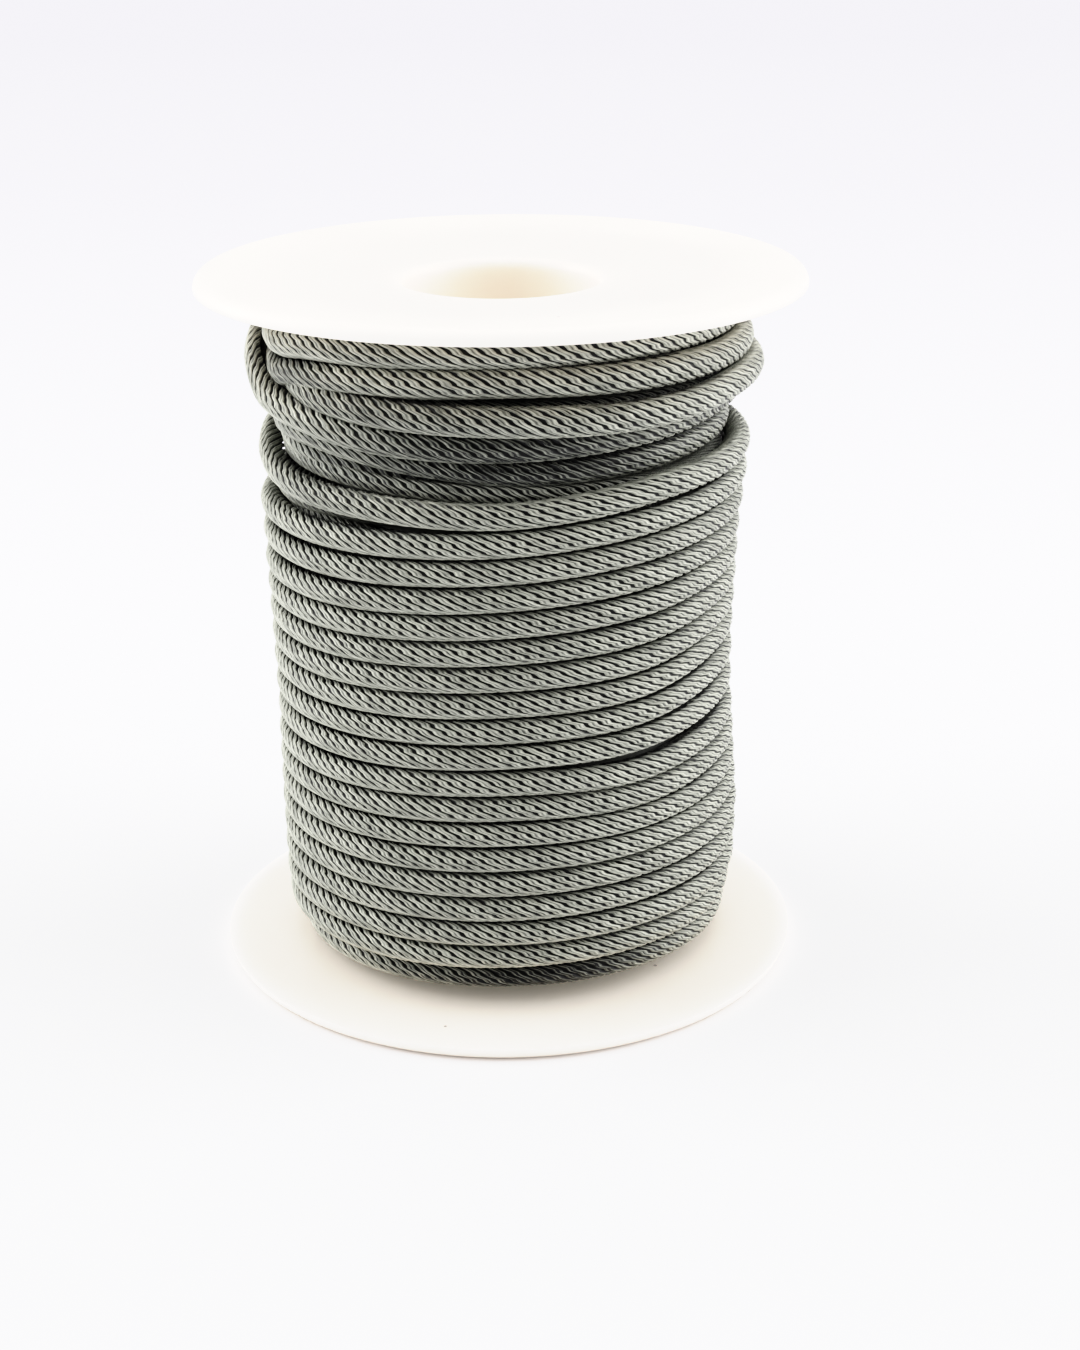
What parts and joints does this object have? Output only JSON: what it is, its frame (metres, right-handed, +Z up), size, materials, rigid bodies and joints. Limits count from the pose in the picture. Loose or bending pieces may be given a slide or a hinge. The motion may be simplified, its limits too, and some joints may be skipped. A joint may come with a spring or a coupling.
{
  "type": "spool of braided cord",
  "caption": "Round white spool with thin dished flanges and an open bore, wound full with sage grey braided cord.",
  "frame": {"origin": "centre of the spool's resting plane, on its axis, under the lower flange", "axes": "+Z up along the spool's axis; -Y is the front that the picture shows; +X to the picture's right"},
  "size_m": [0.078, 0.078, 0.093],
  "materials": {
    "spool_plastic": "smooth moulded white plastic, slightly translucent",
    "cord_yarn": "braided sage grey synthetic cord"
  },
  "bodies": {
    "root": {"flange_top": "spool_plastic", "core_tube": "spool_plastic", "flange_bottom": "spool_plastic", "winding": "cord_yarn"}
  },
  "joints": []
}
